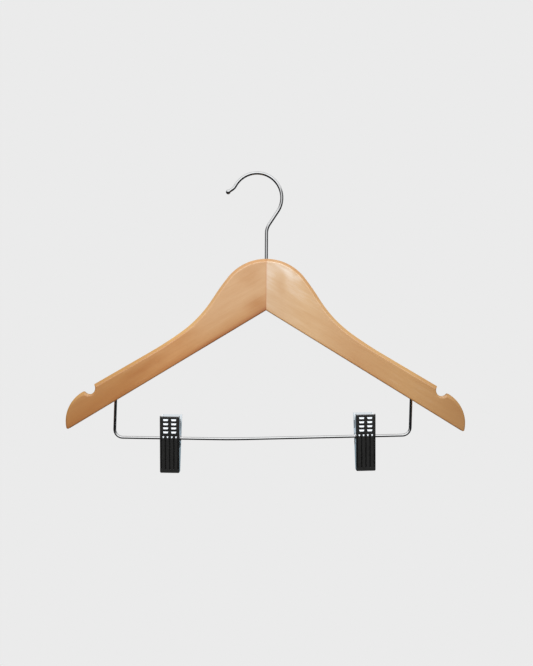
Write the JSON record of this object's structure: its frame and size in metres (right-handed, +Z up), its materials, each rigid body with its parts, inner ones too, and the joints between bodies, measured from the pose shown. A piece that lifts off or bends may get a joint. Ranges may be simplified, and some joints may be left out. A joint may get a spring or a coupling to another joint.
{
  "type": "skirt hanger",
  "caption": "Flat wooden hanger with a swivelling wire hook, strap notches and a wire bar that carries sliding sprung clips for skirts or trousers.",
  "frame": {"origin": "where the hook's inner top rests on a rail", "axes": "+X to the right along the hanger's width, +Y to its back, +Z up"},
  "size_m": [0.445, 0.029, 0.3375],
  "materials": {
    "beech": "satin clear lacquer on pale beech",
    "dowel_wood": "bare",
    "hook_chrome": "bright plated",
    "bar_chrome": "bright plated",
    "jaw_chrome": "plated pressed steel",
    "black_cover": "semi-gloss moulded black",
    "black_rubber": "matt ridged",
    "plain_steel": "drawn and turned",
    "spring_steel": "drawn spring wire"
  },
  "bodies": {
    "hook_body": {"hook": "hook_chrome", "hook_tip_ball": "hook_chrome", "hook_retainer": "plain_steel"},
    "wood_frame": {"left_arm": "beech", "right_arm": "beech", "joint_dowel": "dowel_wood", "trouser_bar": "bar_chrome"},
    "left_slider": {"left_sleeve": "plain_steel"},
    "left_rear_body": {"left_rear_jaw": "jaw_chrome", "left_rear_cover": "black_cover", "left_rear_pad": "black_rubber", "left_spring": "spring_steel"},
    "left_front_body": {"left_front_jaw": "jaw_chrome", "left_front_cover": "black_cover", "left_front_pad": "black_rubber"},
    "right_slider": {"right_sleeve": "plain_steel"},
    "right_rear_body": {"right_rear_jaw": "jaw_chrome", "right_rear_cover": "black_cover", "right_rear_pad": "black_rubber", "right_spring": "spring_steel"},
    "right_front_body": {"right_front_jaw": "jaw_chrome", "right_front_cover": "black_cover", "right_front_pad": "black_rubber"}
  },
  "joints": [
    {"name": "hook_swivel", "type": "hinge", "parent": "hook_body", "child": "wood_frame", "pos_m": [0.0108, 0, -0.0944], "axis": [0, 0, 1], "continuous": true},
    {"name": "left_clip_slide", "type": "slide", "parent": "wood_frame", "child": "left_slider", "axis": [0.9999, 0, -0.0103], "range_m": [-0.0405, 0.0405]},
    {"name": "left_clip_swing", "type": "hinge", "parent": "left_slider", "child": "left_rear_body", "pos_m": [-0.09512, 0, -0.29551], "axis": [0.9999, 0, -0.0103], "continuous": true},
    {"name": "left_jaw_open", "type": "hinge", "parent": "left_rear_body", "child": "left_front_body", "pos_m": [-0.09512, 0, -0.29551], "axis": [-0.9999, 0, 0.0103], "range_deg": [0, 32], "stiffness_Nm_per_rad": 0.3, "springref_deg": -34.38, "deforming": ["left_spring"]},
    {"name": "right_clip_slide", "type": "slide", "parent": "wood_frame", "child": "right_slider", "axis": [0.9996, 0, 0.0283], "range_m": [-0.0827, 0.0283]},
    {"name": "right_clip_swing", "type": "hinge", "parent": "right_slider", "child": "right_rear_body", "pos_m": [0.12205, 0, -0.29197], "axis": [0.9996, 0, 0.0283], "continuous": true},
    {"name": "right_jaw_open", "type": "hinge", "parent": "right_rear_body", "child": "right_front_body", "pos_m": [0.12205, 0, -0.29197], "axis": [-0.9996, 0, -0.0283], "range_deg": [0, 32], "stiffness_Nm_per_rad": 0.3, "springref_deg": -34.38, "deforming": ["right_spring"]}
  ]
}
